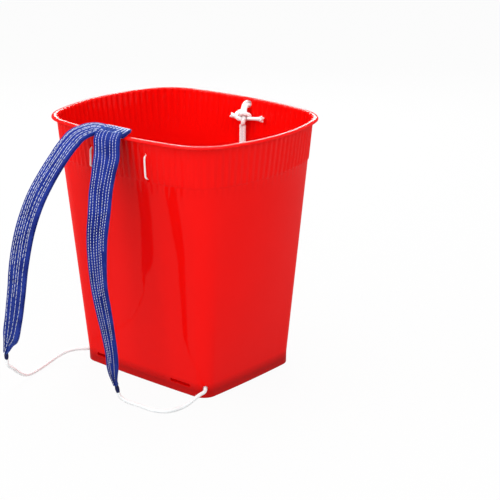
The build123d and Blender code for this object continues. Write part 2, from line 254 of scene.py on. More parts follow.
def tub_profile():
    """Rows of the tub's section from the foot on: height, distance out from the outline, flutes' share."""
    rows = []
    edge = tub_height - lip_edge_height
    for step in range(6):
        turn = pi / 2 * step / 5
        height = foot_radius * (1 - cos(turn))
        rows.append((height, foot_radius * (sin(turn) - 1) - plinth_taper * (plinth_height - height), 0))
    rows += [(plinth_height - 0.0008, -0.0008 * plinth_taper, 0)]
    rows += [(height, 0, 0) for height in np.linspace(plinth_height + 0.0008, band_bottom - 0.0004, 14)]
    flutes = [(band_bottom + 0.0002, 0.35), (band_bottom + 0.0015, 0.8), (band_bottom + 0.004, 1.0)]
    flutes += [(height, 1.0) for height in np.linspace(band_bottom + 0.01, edge, 8)]
    rows += [(height, band_step, share) for height, share in flutes]
    # Under the lip and round its turned-down edge, with softened corners
    under = tub_height - lip_thickness
    inner_edge = lip_overhang - lip_thickness
    rows += [
        (under - 0.0008, band_step, 1),
        (under - 0.0002, band_step + 0.0002, 1),
        (under, band_step + 0.0008, 1),
        (under, inner_edge - 0.0006, 0),
        (under - 0.0002, inner_edge - 0.0001, 0),
        (edge + 0.0006, inner_edge, 0),
        (edge + 0.0001, inner_edge + 0.0002, 0),
        (edge, inner_edge + 0.0007, 0),
        (edge, lip_overhang - 0.0007, 0),
        (edge + 0.0002, lip_overhang - 0.0002, 0),
        (edge + 0.0007, lip_overhang, 0),
    ]
    # Over the lip's top, down inside and round the floor's edge
    for step in range(6):
        turn = pi / 2 * step / 5
        out = lip_overhang - lip_round[0] * (1 - cos(turn))
        rows.append((tub_height - lip_round[1] * (1 - sin(turn)), out, 0))
    inside = band_step - wall
    rows += [(tub_height, 0.35 * lip_overhang, 0.1)]
    for step in range(7):
        turn = pi / 2 * step / 6
        height = tub_height - lip_inner_round[1] * (1 - cos(turn))
        out = inside + lip_inner_round[0] * (1 - sin(turn))
        rows.append((height, out, lip_flutes + (inner_flutes - lip_flutes) * sin(turn)))
    flutes_end = band_bottom - 0.006
    for height in np.linspace(edge, flutes_end, 12):
        rise = (height - flutes_end) / band_height
        rows.append((height, inside - band_step * (1 - rise), inner_flutes * rise))
    rows += [(height, -wall, 0) for height in np.linspace(band_bottom - 0.012, plinth_height, 14)]
    for step in range(6):
        turn = pi / 2 * step / 5
        height = floor_thickness + floor_fillet * (1 - sin(turn))
        rows.append((height, -wall - floor_fillet * (1 - cos(turn)), 0))
    return rows


def tub_shell(rows):
    """The closed shell, its points marked with their place round the rim, flutes' share, and the painted
    shade inside, less on the flutes' crests as a painted highlight.
    """
    columns = 4 * quarter_columns
    turns = np.arange(columns) / columns
    crest = np.cos(2 * pi * flute_count * turns)
    points = np.zeros((len(rows), columns, 3))
    directions = np.zeros((len(rows), columns, 3))
    inner = []
    for row, (height, out, share) in enumerate(rows):
        ring, outward = tub_ring(height)
        points[row, :, :2] = ring + outward * out
        points[row, :, 2] = height
        directions[row, :, :2] = outward
        # Inside points get painted shade, with a painted highlight along each flute's crest
        inside = out < -wall / 2 and height > foot_radius
        inner.append((1 - crest_painted_highlight * share * crest) * inside)
    faces = ring_faces(len(rows), columns)
    faces.append(tuple(reversed(range(columns))))
    faces.append(tuple(range((len(rows) - 1) * columns, len(rows) * columns)))
    tub = new_piece("tub", points.reshape(-1, 3), faces)
    marks = {
        "flute_turn": np.tile(turns, len(rows)),
        "flute_share": np.repeat([share for height, out, share in rows], columns),
        "inner": np.concatenate(inner),
    }
    for name, values in marks.items():
        mark = tub.data.attributes.new(name, "FLOAT", "POINT")
        mark.data.foreach_set("value", values.astype(np.float32))
    mark = tub.data.attributes.new("outward", "FLOAT_VECTOR", "POINT")
    mark.data.foreach_set("vector", directions.astype(np.float32).ravel())
    return tub


def node_tree(name, sizes):
    """A geometry node tree with named inputs for its sizes and its finish, and its group input's sockets."""
    tree = bpy.data.node_groups.new(name, "GeometryNodeTree")
    tree.interface.new_socket("Geometry", in_out="INPUT", socket_type="NodeSocketGeometry")
    for size in sizes:
        tree.interface.new_socket(size, in_out="INPUT", socket_type="NodeSocketFloat")
    tree.interface.new_socket("Finish", in_out="INPUT", socket_type="NodeSocketMaterial")
    tree.interface.new_socket("Geometry", in_out="OUTPUT", socket_type="NodeSocketGeometry")
    return tree, tree.nodes.new("NodeGroupInput").outputs


def end_tree(tree, geometry, finish):
    """Realizes what the tree made, gives it its finish and sends it out."""
    real = add(tree, "GeometryNodeRealizeInstances", {"Geometry": geometry})
    whole = real.outputs["Geometry"]
    finished = add(tree, "GeometryNodeSetMaterial", {"Geometry": whole, "Material": finish})
    add(tree, "NodeGroupOutput", {"Geometry": finished.outputs["Geometry"]})
    return tree


def grow(piece, tree, values):
    """Puts a geometry node tree on a piece, with its inputs set by their identifiers."""
    modifier = piece.modifiers.new(tree.name, "NODES")
    modifier.node_group = tree
    for socket in tree.interface.items_tree:
        if socket.in_out == "INPUT" and socket.name in values:
            modifier[socket.identifier] = values[socket.name]
    return piece


def flute_tree():
    """Pushes the band's points in and out as a cosine round the rim."""
    tree, sizes = node_tree("flutes", ("Flute Count", "Flute Depth"))
    turn, share, outward = (
        add(tree, "GeometryNodeInputNamedAttribute", {"Name": name}, data_type=kind).outputs["Attribute"]
        for name, kind in (("flute_turn", "FLOAT"), ("flute_share", "FLOAT"), ("outward", "FLOAT_VECTOR"))
    )
    angle = reckon(tree, "MULTIPLY", turn, sizes["Flute Count"])
    wave = reckon(tree, "COSINE", reckon(tree, "MULTIPLY", angle, 2 * pi))
    hollow = reckon(tree, "MULTIPLY_ADD", wave, -0.5, 0.5)
    depth = reckon(tree, "MULTIPLY", hollow, sizes["Flute Depth"])
    push = reckon(tree, "MULTIPLY", depth, share)
    offset = add(tree, "ShaderNodeVectorMath", {0: outward, "Scale": push}, operation="SCALE")
    moved = add(
        tree, "GeometryNodeSetPosition", {"Geometry": sizes["Geometry"], "Offset": offset.outputs["Vector"]}
    )
    return end_tree(tree, moved.outputs["Geometry"], sizes["Finish"])


slot_size = (0.039, 0.005)
slot_corner = 0.0016
slot_place = (0.078, 0.016)
lashing_hole = 0.0052
lashing_holes = ((0.057, 0.370), (0.057, 0.332), (-0.057, 0.332), (-0.052, 0.364))
sling_hole = 0.0124
sling_heights = (0.300, 0.384)
rope_hole = 0.0082
rope_hole_height = 0.016
# From where to where each kind of hole is punched, along Y or out from the corner
slot_punch = (-0.094, -0.112)
lashing_punch = (-0.125, -0.16)
sling_punch = (0.165, 0.12)
rope_punch = (-0.006, 0.006)


def punch(points, faces, outline, start, end, across=(1, 0, 0)):
    """Adds a straight punch from start to end, with an outline (across, upwards)."""
    first = len(points)
    for middle in (start, end):
        points += [Vector(middle) + Vector(across) * x + Vector((0, 0, z)) for x, z in outline]
    count = len(outline)
    faces += ring_faces(2, count, first)
    faces.append(tuple(reversed(range(first, first + count))))
    faces.append(tuple(range(first + count, first + 2 * count)))


def round_outline(width, height, radius, steps):
    """Points of an upright rectangle with round corners."""
    outline = []
    for quarter in range(4):
        for step in range(steps):
            turn = pi / 2 * (quarter + step / (steps - 1))
            x = np.copysign(width / 2 - radius, cos(pi / 2 * (quarter + 0.5)))
            z = np.copysign(height / 2 - radius, sin(pi / 2 * (quarter + 0.5)))
            outline.append((x + radius * cos(turn), z + radius * sin(turn)))
    return outline


def hole_outline(diameter):
    """Points of a round hole."""
    turns = 2 * pi * np.arange(28) / 28
    return [(diameter / 2 * cos(turn), diameter / 2 * sin(turn)) for turn in turns]


def rope_corner(side):
    """Middle of a bottom corner of the strap wall at the rope hole, and its outward direction."""
    ring, outward = tub_ring(rope_hole_height)
    column = int(np.argmax(outward @ (side, -1.0)))
    return Vector((*ring[column], rope_hole_height)), Vector((*outward[column], 0.0))


tub = grow(
    tub_shell(tub_profile()),
    flute_tree(),
    {"Flute Count": float(flute_count), "Flute Depth": flute_depth, "Finish": tub_plastic()},
)
punch_points = []
punch_faces = []
for side in (-1, 1):
    slot_outline = round_outline(*slot_size, slot_corner, 6)
    slot_x, slot_z = slot_place
    start, end = ((side * slot_x, y, slot_z) for y in slot_punch)
    punch(punch_points, punch_faces, slot_outline, start, end)
    corner, outward = rope_corner(side)
    start, end = (corner + outward * reach for reach in rope_punch)
    across = outward.cross(Vector((0, 0, -1)))
    punch(punch_points, punch_faces, hole_outline(rope_hole), start, end, across)
for x, height in lashing_holes:
    start, end = ((x, y, height) for y in lashing_punch)
    punch(punch_points, punch_faces, hole_outline(lashing_hole), start, end)
for height in sling_heights:
    start, end = ((0, y, height) for y in sling_punch)
    punch(punch_points, punch_faces, hole_outline(sling_hole), start, end)
punches = new_piece("punches", punch_points, punch_faces)
cut = tub.modifiers.new("holes", "BOOLEAN")
cut.operation = "DIFFERENCE"
cut.solver = "EXACT"
cut.object = punches
settle(tub, 32)
bpy.data.objects.remove(punches)
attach(tub, "basket")
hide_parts("basket_tub")

# Lower ropes: soft white braided rope, knotted inside the two bottom corners of the strap wall. Each comes
# out of its hole, lies loosely on the floor and rises to the binding at its strap's end.
rope_diameter = 0.0058
rope_lay = 0.018
rope_straight = 0.011
knot_seat = 0.003
stopper_half = 0.0038
stopper_depth = 0.0032
stopper_offset = 0.0055
# A braid's core, its yarns, their distance from the middle and how far they weave, as shares of the radius,
# the steps in one turn of a yarn, and the share of a frayed rope's length after which its yarns spread
braid_core = 0.87
braid_yarn = 0.34
braid_reach = 0.62
braid_weave = 0.04
braid_steps = 18
fray_start = 0.55


def rope_line(points):
    """Points along a rope's smooth line, a spline with the route's points as its control points."""
    line = bpy.data.curves.new("line", "CURVE")
    line.dimensions = "3D"
    spline = line.splines.new("NURBS")
    spline.points.add(len(points) - 1)
    for control, point in zip(spline.points, points):
        control.co = (*point, 1.0)
    spline.order_u = 3
    spline.use_endpoint_u = True
    spline.resolution_u = 16
    piece = bpy.data.objects.new("line", line)
    mesh = bpy.data.meshes.new_from_object(piece)
    path = np.array([vertex.co for vertex in mesh.vertices])
    bpy.data.objects.remove(piece)
    bpy.data.meshes.remove(mesh)
    return path


def path_lengths(path):
    """Distance along a path at each of its points."""
    return np.concatenate(((0.0,), np.cumsum(np.linalg.norm(np.diff(path, axis=0), axis=1))))


def unit(vectors):
    """Vectors brought to a length of one."""
    return vectors / np.linalg.norm(vectors, axis=-1, keepdims=True)


def path_frames(path):
    """Two directions across a path at each of its points, which turn as little as the path allows."""
    along = unit(np.gradient(path, axis=0))
    side = np.cross(along[0], (0.3, 0.5, 0.8))
    sides = []
    for direction in along:
        side = unit(side - direction * np.dot(side, direction))
        sides.append(side)
    sides = np.array(sides)
    return sides, np.cross(along, sides)


def tube(points, faces, path, radii, sides=6):
    """Adds a closed tube along a path, with a radius for each of its points."""
    side, up = path_frames(path)
    turns = 2 * pi * np.arange(sides) / sides
    first = len(points)
    for middle, radius, across, over in zip(path, radii, side, up):
        points += [middle + radius * (across * cos(turn) + over * sin(turn)) for turn in turns]
    faces += ring_faces(len(path), sides, first)
    last = first + (len(path) - 1) * sides
    faces.append(tuple(reversed(range(first, first + sides))))
    faces.append(tuple(range(last, last + sides)))


def rope_fibre(name, shade):
    """White yarn: fine fibres, faintly greyer patches and a soft sheen."""
    material, tree, shader, place = start_material(name, {"Roughness": 0.75, "Sheen Weight": 0.25})
    fibre = noise(tree, place, 1500.0, 2.0)
    mixed = reckon(tree, "MULTIPLY", fibre, noise(tree, place, 60.0, 2.0))
    low = tuple(0.93 * part for part in shade)
    tree.links.new(ramp(tree, mixed, (0.08, low), (0.34, shade)), shader.inputs["Base Color"])
    roughen(tree, shader, fibre, 0.15, 0.0003)
    return material


def finish_rope(name, points, faces, finish):
    """A rope piece from its yarns, smooth all over."""
    piece = new_piece(name, points, faces, finish)
    piece.data.shade_smooth()
    return piece


def braided(name, path, diameter, lay, finish, fray=0.0):
    """A braided rope: four yarns turn each way round a core and pass over and under each other."""
    lengths = path_lengths(path)
    at = np.linspace(0.0, lengths[-1], int(lengths[-1] / lay * braid_steps) + 2)
    path = np.stack([np.interp(at, lengths, path[:, axis]) for axis in range(3)], axis=1)
    side, up = path_frames(path)
    turn = 2 * pi * at / lay
    loose = 1 + fray * np.clip(at / at[-1] - fray_start, 0.0, 1.0) ** 2
    radius = diameter / 2
    points = []
    faces = []
    tube(points, faces, path, np.full(len(path), braid_core * radius))
    for yarn in range(8):
        way = 1 if yarn % 2 else -1
        angle = way * turn + pi / 2 * (yarn // 2)
        reach = radius * loose * (braid_reach + braid_weave * way * np.cos(4 * turn))
        line = path + (reach * np.cos(angle))[:, None] * side + (reach * np.sin(angle))[:, None] * up
        tube(points, faces, line, np.full(len(path), braid_yarn * radius))
    return finish_rope(name, points, faces, finish)


def knot_path(middle, right, over, half_right, half_over, half_deep):
    """The closed path of an overhand knot, drawn up to a given size."""
    turn = np.linspace(0.0, 2 * pi, 140)
    right = np.array(right)
    over = np.array(over)
    deep = np.cross(right, over)
    across = (np.sin(turn) + 2 * np.sin(2 * turn)) / 3
    along = (np.cos(turn) - 2 * np.cos(2 * turn)) / 3
    parts = ((right, across * half_right), (over, along * half_over), (deep, -np.sin(3 * turn) * half_deep))
    return np.array(middle) + sum(share[:, None] * axis for axis, share in parts)


# The rope's white is tinted slightly cyan: painted colour that cancels the red light the tub throws on it
white_rope = rope_fibre("white_rope", (0.88, 0.93, 0.935))
# The straps' lower ends, the way the ropes leave them, and how far below them the ropes begin
left_tip = Vector((-0.1198, -0.26545, 0.0623))
right_tip = Vector((0.033, -0.18985, 0.028))
left_end = Vector((-0.17, 0.15, -0.97)).normalized()
right_end = Vector((0.22, 0.06, -0.97)).normalized()
binding_reach = 0.0118
left_corner, left_out = rope_corner(-1)
right_corner, right_out = rope_corner(1)
left_route = [
    left_corner - left_out * knot_seat,
    left_corner + left_out * rope_straight,
    (-0.138, -0.111, 0.0158),
    (-0.146, -0.1225, 0.013),
    (-0.151, -0.137, 0.008),
    (-0.151, -0.152, 0.0042),
    (-0.147, -0.169, 0.0033),
    (-0.142, -0.187, 0.0033),
    (-0.138, -0.203, 0.0036),
    (-0.1345, -0.217, 0.0066),
    (-0.131, -0.230, 0.014),
    (-0.1275, -0.241, 0.023),
    (-0.124, -0.251, 0.032),
    left_tip + left_end * (binding_reach + rope_straight),
    left_tip + left_end * binding_reach,
]
right_route = [
    right_corner - right_out * knot_seat,
    right_corner + right_out * rope_straight,
    (0.1286, -0.113, 0.0148),
    (0.1272, -0.124, 0.011),
    (0.1258, -0.134, 0.0068),
    (0.1233, -0.146, 0.0038),
    (0.1208, -0.159, 0.0033),
    (0.1135, -0.173, 0.0033),
    (0.0985, -0.1803, 0.0033),
    (0.078, -0.181, 0.0033),
    (0.060, -0.182, 0.0035),
    (0.0465, -0.1855, 0.0052),
    right_tip + right_end * (binding_reach + rope_straight / 2),
    right_tip + right_end * binding_reach,
]
for hand, route, length, corner, outward, tip in (
    ("left", left_route, 0.2066, left_corner, left_out, left_tip),
    ("right", right_route, 0.1733, right_corner, right_out, right_tip),
):
    path = rope_line(route)
    rope = braided(f"rope_{hand}", path, rope_diameter, rope_lay, white_rope)
    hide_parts(f"lower_rope_{hand}")
    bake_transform(rope)
    # The knot inside the corner that keeps the rope from pulling out
    knot_middle = corner - outward * (knot_seat + stopper_offset)
    across = outward.cross(Vector((0, 0, 1)))
    knot_line = knot_path(knot_middle, across, (0, 0, 1), stopper_half, stopper_half, stopper_depth)
    stopper = braided(f"stopper_{hand}", knot_line, rope_diameter, rope_lay, white_rope)
    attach(stopper, "basket")
    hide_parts(f"stopper_knot_{hand}")

# Shoulder straps: quilted blue cotton band of two layers, sewn along with white thread in wandering rows.
# Each comes over the lip, hangs outside the wall and is drawn together at its end.
cloth = 0.0045
gathered = 0.0054
strap_root_y = -0.15785
strap_root_z = 0.39555
band_columns = 49
row_step = 0.0016
stitch_groove = 0.0005
deepest_groove = 0.00065
stitch_spread = 0.0011
stitch_sink = 0.0002
# Shortest and longest half of a stitch as shares of its length, the rows' slow and quick sway (share of the
# width, length), and how near the edges a row may come
stitch_halves = (0.42, 0.56)
slow_sway = (0.012, 0.031)
quick_sway = (0.008, 0.0137)
row_limits = (0.05, 0.95)
pleat_depth = 0.0016
pleat_count = 2.5


def strap_stations(rows, end_height):
    """A strap's stations (x, y, z, width, thickness, turn) from rows with a reach and a share of the fall."""
    stations = []
    for x, reach, fall, width, thickness, turn in rows:
        height = strap_root_z + (end_height - strap_root_z) * fall
        stations.append((x, strap_root_y - reach, height, width, thickness, turn))
    return stations


def smooth_between(knots, values, at):
    """Values between knots, on a smooth line through each of them."""
    knots = np.asarray(knots, float)
    values = np.asarray(values, float)
    slopes = np.gradient(values, knots, axis=0)
    index = np.clip(np.searchsorted(knots, at, side="right") - 1, 0, len(knots) - 2)
    span = knots[index + 1] - knots[index]
    t = (at - knots[index]) / span
    if values.ndim > 1:
        span = span[:, None]
        t = t[:, None]
    low = values[index] * (1 + 2 * t) * (1 - t) ** 2 + slopes[index] * span * t * (1 - t) ** 2
    high = values[index + 1] * (3 - 2 * t) * t**2 - slopes[index + 1] * span * (1 - t) * t**2
    return low + high


def wander(rows, at, seed):
    """Places of the stitch rows across a band, as shares of its width, with a sewer's small wander."""
    draw = np.random.default_rng(seed)
    stops = np.linspace(0.0, at[-1], len(rows[0]))
    places = []
    for row in rows:
        phase = draw.uniform(0, 2 * pi)
        sway = slow_sway[0] * np.sin(at / slow_sway[1] + phase)
        sway += quick_sway[0] * np.sin(at / quick_sway[1] + 2 * phase)
        places.append(np.clip(smooth_between(stops, row, at) + sway, *row_limits))
    return np.array(places)


def edge_lobes(width, thickness):
    """Points (across, over) round a band's right edge, where its two folded layers meet."""
    lobe = thickness / 4
    turns = np.radians((60, 30, 0, -30, -60))
    return [
        (width / 2 - lobe + lobe * cos(turn), lobe * (layer + sin(turn)))
        for layer in (1, -1)
        for turn in turns
    ]


def sewn_band(name, stations, stitch_rows, row_ends, seed, finish, pleat_start=1.0, seams=(), square=True):
    """A quilted band along its stations, and the lines on both faces that its stitches follow."""
    stations = np.array([(*station, 0.0)[:7] for station in stations])
    knots = path_lengths(stations[:, :3])
    at = np.linspace(0.0, knots[-1], int(knots[-1] / row_step) + 1)
    rows = smooth_between(knots, stations, at)
    middle = rows[:, :3]
    along = unit(np.gradient(middle, axis=0))
    turn, lean = np.radians(rows[:, 5:7]).T
    across = np.stack((np.cos(turn) * np.cos(lean), np.sin(turn) * np.cos(lean), -np.sin(lean)), axis=1)
    if square:
        across = unit(across - along * np.sum(across * along, axis=1, keepdims=True))
    over = unit(np.cross(along, across))
    places = wander(stitch_rows, at, seed)
    shares = np.linspace(0.0, 1.0, band_columns)
    gather = np.clip((at / at[-1] - pleat_start) / (1.001 - pleat_start), 0.0, 1.0) ** 1.5
    flats = rows[:, 3] - rows[:, 4] / 2
    points = []
    marks = []
    for step, (centre, width, thickness) in enumerate(zip(middle, rows[:, 3], rows[:, 4])):
        groove = stitch_groove * np.exp(-(((shares[:, None] - places[:, step]) * width / stitch_spread) ** 2))
        face = thickness / 2 - np.minimum(groove.sum(axis=1), deepest_groove)
        front = list(zip((shares - 0.5) * flats[step], face))
        right = edge_lobes(width, thickness)
        section = front + right
        section += [(x, -z) for x, z in reversed(front)] + [(-x, z) for x, z in reversed(right)]
        for x, z in section:
            pleat = pleat_depth * gather[step] * cos(2 * pi * pleat_count * (x / width))
            points.append(centre + across[step] * x + over[step] * (z + pleat))
            marks.append((x, at[step]))
    columns = len(points) // len(at)
    faces = [tuple(reversed(face)) for face in ring_faces(len(at), columns)]
    faces.append(tuple(range(columns)))
    faces.append(tuple(reversed(range(len(points) - columns, len(points)))))
    band = new_piece(name, points, faces, finish)
    cloth_map = band.data.uv_layers.new(name="cloth")
    for loop in band.data.loops:
        cloth_map.data[loop.index].uv = marks[loop.vertex_index]
    band.data.shade_smooth()
    lines = []
    lift = rows[:, 4] / 2 - stitch_sink
    starts = np.random.default_rng(seed).integers(0, 4, len(places))
    for place, start, end in zip(places, starts, row_ends):
        pleat = pleat_depth * gather * np.cos(2 * pi * pleat_count * (place - 0.5))
        spot = middle + across * ((place - 0.5) * flats)[:, None]
        for side in (1, -1):
            lines.append((spot + over * (side * lift + pleat)[:, None])[start : int(end * len(at))])
    # Seams sewn across the outer face, through points (distance along the band, share of its width)
    for seam in seams:
        stops = np.linspace(0, len(seam) - 1, 8 * len(seam))
        distance, share = (np.interp(stops, range(len(seam)), part) for part in zip(*seam))
        edges = [middle + across * (half * flats)[:, None] + over * lift[:, None] for half in (-0.5, 0.5)]
        low, high = (np.stack([np.interp(distance, at, axis) for axis in edge.T], axis=1) for edge in edges)
        lines.append(low + (high - low) * share[:, None])
    return band, lines


def stitch_tree():
    """Lays a stitch of thread at each pitch along a line, with a little variation in its length."""
    tree, sizes = node_tree("stitches", ("Pitch", "Length", "Thread", "Seed"))
    line = add(tree, "GeometryNodeMeshToCurve", {"Mesh": sizes["Geometry"]})
    spots = add(
        tree,
        "GeometryNodeCurveToPoints",
        {"Curve": line.outputs["Curve"], "Length": sizes["Pitch"]},
        mode="LENGTH",
    )
    bead = add(tree, "GeometryNodeMeshUVSphere", {"Segments": 6, "Rings": 5, "Radius": 1.0})
    shortest, longest = stitch_halves
    chance = {2: shortest, 3: longest, "Seed": sizes["Seed"]}
    vary = add(tree, "FunctionNodeRandomValue", chance, data_type="FLOAT")
    half = reckon(tree, "MULTIPLY", vary.outputs[1], sizes["Length"])
    size = add(tree, "ShaderNodeCombineXYZ", {"X": sizes["Thread"], "Y": sizes["Thread"], "Z": half})
    laid = add(
        tree,
        "GeometryNodeInstanceOnPoints",
        {
            "Points": spots.outputs["Points"],
            "Instance": bead.outputs["Mesh"],
            "Rotation": spots.outputs["Rotation"],
            "Scale": size.outputs["Vector"],
        },
    )
    return end_tree(tree, laid.outputs["Instances"], sizes["Finish"])


stitching = stitch_tree()


def sew(name, lines, stitch, seed, finish):
    """Stitches of a given pitch, length and thread radius along a set of lines, as one piece."""
    edges = []
    first = 0
    for line in lines:
        edges += [(first + n, first + n + 1) for n in range(len(line) - 1)]
        first += len(line)
    piece = new_piece(name, np.concatenate(lines), (), edges=edges)
    sizes = dict(zip(("Pitch", "Length", "Thread"), stitch), Seed=float(seed))
    return settle(grow(piece, stitching, {**sizes, "Finish": finish}), 80)


def strap_cotton():
    """Deep blue plain-weave cotton: crossing yarns, uneven dye and a soft nap."""
    looks = {
        "Roughness": 0.85,
        "Specular IOR Level": 0.05,
        "Sheen Weight": 0.8,
        "Sheen Roughness": 0.35,
        "Sheen Tint": (0.22, 0.45, 1.0, 1.0),
    }
    material, tree, shader, place = start_material("strap_cloth", looks)
    weave = []
    for direction in ("X", "Y"):
        yarn = add(
            tree,
            "ShaderNodeTexWave",
            {"Vector": place["UV"], "Scale": 330.0, "Distortion": 1.2, "Detail": 1.0, "Detail Scale": 2.0},
            bands_direction=direction,
        )
        weave.append(yarn.outputs["Fac"])
    cross = reckon(tree, "MAXIMUM", *weave)
    colour = ramp(
        tree,
        reckon(tree, "MULTIPLY_ADD", cross, 0.45, noise(tree, place, 55.0, 4.0)),
        (0.35, (0.004, 0.007, 0.078)),
        (0.75, (0.008, 0.016, 0.165)),
        (1.0, (0.017, 0.035, 0.26)),
    )
    tree.links.new(colour, shader.inputs["Base Color"])
    roughen(tree, shader, cross, 0.35, 0.0003)
    return material


strap_cloth = strap_cotton()
stitch_white = rope_fibre("stitch_thread", (0.82, 0.86, 0.97))
# Stations down each strap (x, reach out from the lip, share of the fall, width, thickness, turn in degrees)
left_fall = [
    (-0.0500, 0.028, 0.0495, 0.038, cloth, 0.0),
    (-0.0500, 0.052, 0.1072, 0.037, cloth, 0.0),
    (-0.0520, 0.074, 0.1784, 0.036, cloth, 2.0),
    (-0.0575, 0.091, 0.2630, 0.0355, cloth, 4.0),
    (-0.0630, 0.104, 0.3618, 0.035, cloth, 5.0),
    (-0.0740, 0.114, 0.5505, 0.035, cloth, 5.0),
    (-0.0820, 0.115, 0.6919, 0.0345, cloth, 2.0),
    (-0.0920, 0.114, 0.8145, 0.0335, cloth, 0.0),
    (-0.1030, 0.1118, 0.9050, 0.0292, cloth, 0.0),
    (-0.1115, 0.109, 0.9430, 0.0195, cloth, 0.0),
    (-0.1172, 0.108, 0.9820, 0.0105, 0.005, 0.0),
    (-0.1198, 0.1076, 1.0, gathered, gathered, 0.0),
]
right_fall = [
    (0.0025, 0.0, 0.0, 0.043, cloth, 0.0),
    (0.0070, 0.009, 0.0114, 0.045, cloth, 0.0),
    (0.0165, 0.022, 0.0777, 0.043, cloth, 6.0),
    (0.0250, 0.037, 0.1325, 0.038, cloth, 12.0),
    (0.0310, 0.049, 0.1895, 0.036, cloth, 16.0),
    (0.0370, 0.059, 0.2600, 0.034, cloth, 19.0),
    (0.0390, 0.067, 0.3582, 0.0315, cloth, 20.0),
    (0.0390, 0.068, 0.4556, 0.029, cloth, 18.0),
    (0.0390, 0.066, 0.5539, 0.026, cloth, 17.0),
    (0.0410, 0.061, 0.6543, 0.024, cloth, 21.0),
    (0.0380, 0.050, 0.7662, 0.020, cloth, 27.0),
    (0.0360, 0.042, 0.8749, 0.018, cloth, 27.0),
    (0.0338, 0.0392, 0.9160, 0.0175, cloth, 27.0),
    (0.0318, 0.0356, 0.9590, 0.012, 0.005, 24.0),
    (0.0318, 0.0334, 0.9820, 0.0076, gathered, 14.0),
    (0.0330, 0.0320, 1.0, gathered, gathered, 0.0),
]
# The left strap comes slantwise out of the folded middle and leans outwards over the lip (last value, in
# degrees), the right one comes straight out from under its edge
left_top = [
    (-0.0190, -0.1450, 0.3938, 0.036, cloth, -53.0, 4.0),
    (-0.0343, -0.1537, 0.3953, 0.038, cloth, -45.0, 9.0),
    (-0.0394, -0.1653, 0.3934, 0.038, cloth, -33.0, 12.0),
    (-0.0450, -0.1770, 0.3882, 0.038, cloth, -18.0, 12.0),
]
right_top = [(0.001, -0.1500, 0.3945, 0.042, 0.004, 0.0)]
# Places of each row of stitches across the strap, as shares of its width, at even steps down its length
left_rows = [
    (0.07, 0.06, 0.07, 0.06, 0.08, 0.18),
    (0.16, 0.15, 0.18, 0.19, 0.20, 0.27),
    (0.33, 0.31, 0.31, 0.29, 0.31, 0.36),
    (0.43, 0.42, 0.40, 0.45, 0.42, 0.45),
    (0.63, 0.61, 0.57, 0.58, 0.56, 0.53),
    (0.79, 0.75, 0.72, 0.71, 0.71, 0.62),
    (0.90, 0.85, 0.83, 0.82, 0.82, 0.72),
]
right_rows = [
    (0.08, 0.07, 0.06, 0.09, 0.10, 0.18),
    (0.18, 0.18, 0.21, 0.25, 0.25, 0.32),
    (0.31, 0.36, 0.37, 0.43, 0.42, 0.44),
    (0.43, 0.49, 0.49, 0.56, 0.56, 0.54),
    (0.66, 0.66, 0.64, 0.71, 0.70, 0.64),
    (0.77, 0.78, 0.76, 0.83, 0.82, 0.76),
    (0.88, 0.90, 0.88, 0.91, 0.90, 0.84),
]
# Share of the strap's length at which each row of stitches ends, bars sewn across the left strap's top, and
# each strap's stitch (pitch, length, thread radius)
left_ends = (1.0, 0.62, 0.95, 0.74, 1.0, 0.58, 0.95)
right_ends = (1.0, 0.95, 0.9, 0.62, 1.0, 0.8, 0.45)
left_bars = [((along, 0.14), (along + 0.001, 0.40)) for along in (0.012, 0.019, 0.026)]
left_stitch = (0.0076, 0.0076, 0.00034)
right_stitch = (0.0040, 0.0031, 0.00032)
for hand, top, fall, end_height, stitch_rows, row_ends, stitch, seed, root_x, pleat_start, seams in (
    ("left", left_top, left_fall, left_tip.z, left_rows, left_ends, left_stitch, 4, -0.0415, 0.88, left_bars),
    ("right", right_top, right_fall, right_tip.z, right_rows, right_ends, right_stitch, 7, 0.0025, 0.84, ()),
):
    stations = top + strap_stations(fall, end_height)
    strap, lines = sewn_band(
        f"strap_{hand}_cloth", stations, stitch_rows, row_ends, seed, strap_cloth, pleat_start, seams
    )
    stitches = sew(f"strap_{hand}_stitches", lines, stitch, seed, stitch_white)
    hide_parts(f"strap_{hand}")
    for piece in (strap, stitches):
        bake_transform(piece)

# Yoke: the folded middle of the same cloth band. It lies over the lip, its inner flap hangs inside the wall
# and its right-hand corner sticks out over the rim.
yoke_cloth = 0.005
# Stations up the flap and out over the lip (x, y, z, width)
yoke_line = [
    (-0.0170, -0.1330, 0.3220, 0.062),
    (-0.0170, -0.1360, 0.3480, 0.062),
    (-0.0170, -0.1330, 0.3680, 0.058),
    (-0.0140, -0.1308, 0.3820, 0.046),
    (-0.0090, -0.1312, 0.3905, 0.034),
    (-0.0020, -0.1338, 0.3962, 0.045),
    (0.0005, -0.1390, 0.3980, 0.050),
    (0.0020, -0.1480, 0.3968, 0.052),
    (0.0035, -0.1545, 0.3956, 0.052),
    (0.0050, -0.1590, 0.3936, 0.048),
]
yoke_stations = [(*station, yoke_cloth, 0.0) for station in yoke_line]
yoke_rows = [
    (0.08, 0.08, 0.07, 0.08, 0.10),
    (0.22, 0.21, 0.22, 0.24, 0.30),
    (0.36, 0.36, 0.37, 0.40, 0.42),
    (0.50, 0.51, 0.50, 0.55, 0.52),
    (0.64, 0.65, 0.66, 0.72, 0.62),
    (0.78, 0.78, 0.80, 0.84, 0.78),
    (0.92, 0.92, 0.93, 0.94, 0.93),
]
